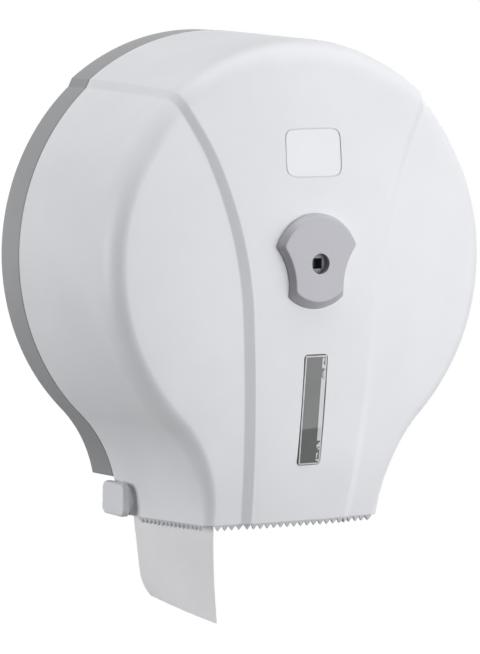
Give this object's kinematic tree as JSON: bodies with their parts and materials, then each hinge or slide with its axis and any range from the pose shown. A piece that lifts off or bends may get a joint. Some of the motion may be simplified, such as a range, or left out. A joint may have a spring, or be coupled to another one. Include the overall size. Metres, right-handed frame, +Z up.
{
  "type": "jumbo toilet roll dispenser",
  "caption": "Round wall-mounted jumbo toilet roll dispenser: grey wall plate, white hinged lockable cover with level window and tear edge, roll on a spindle.",
  "frame": {"origin": "on the spindle axis, at the wall face of the rear plate", "axes": "+Z up, +Y into the wall, the front faces -Y, +X to the right of someone facing the front"},
  "size_m": [0.2244, 0.1268, 0.2934],
  "materials": {
    "grey_plastic": "moulded, fine satin",
    "light_grey_plastic": "moulded, satin",
    "white_plastic": "moulded, smooth satin gloss",
    "pale_plastic": "moulded, satin",
    "badge_plastic": "smooth bare plate",
    "clear_plastic": "clear moulded lens",
    "zinc_steel": "zinc plated",
    "lock_metal": "die-cast, plated",
    "dark_metal": "dark oxide",
    "tissue_paper": "soft matt crepe",
    "cardboard": "wound grey-brown board"
  },
  "bodies": {
    "base": {"rear_plate": "grey_plastic", "spindle": "pale_plastic", "spindle_screws": "zinc_steel", "latch_keeper": "zinc_steel", "keeper_screw": "zinc_steel", "hinge_pin_left": "white_plastic", "hinge_pin_right": "white_plastic", "paper_tail": "tissue_paper"},
    "cover": {"front_cover": "white_plastic", "tear_edge": "white_plastic", "window_lens": "clear_plastic", "badge_plate": "badge_plastic", "lock_escutcheon": "light_grey_plastic", "escutcheon_screws": "zinc_steel", "lock_housing": "lock_metal", "lock_nut": "zinc_steel"},
    "lock": {"lock_barrel": "dark_metal", "lock_cam": "zinc_steel", "cam_screw": "zinc_steel"},
    "roll": {"roll_hub": "pale_plastic", "core_tube": "cardboard", "paper_roll": "tissue_paper"}
  },
  "joints": [
    {"name": "cover_hinge", "type": "hinge", "parent": "base", "child": "cover", "pos_m": [0, -0.0272, -0.1264], "axis": [1, 0, 0], "range_deg": [0, 95], "deforming": ["paper_tail"]},
    {"name": "lock_turn", "type": "hinge", "parent": "cover", "child": "lock", "pos_m": [0, -0.118, 0], "axis": [0, -1, 0], "range_deg": [0, 90]},
    {"name": "roll_spin", "type": "hinge", "parent": "base", "child": "roll", "pos_m": [0, -0.0594, 0], "axis": [0, -1, 0], "continuous": true}
  ]
}
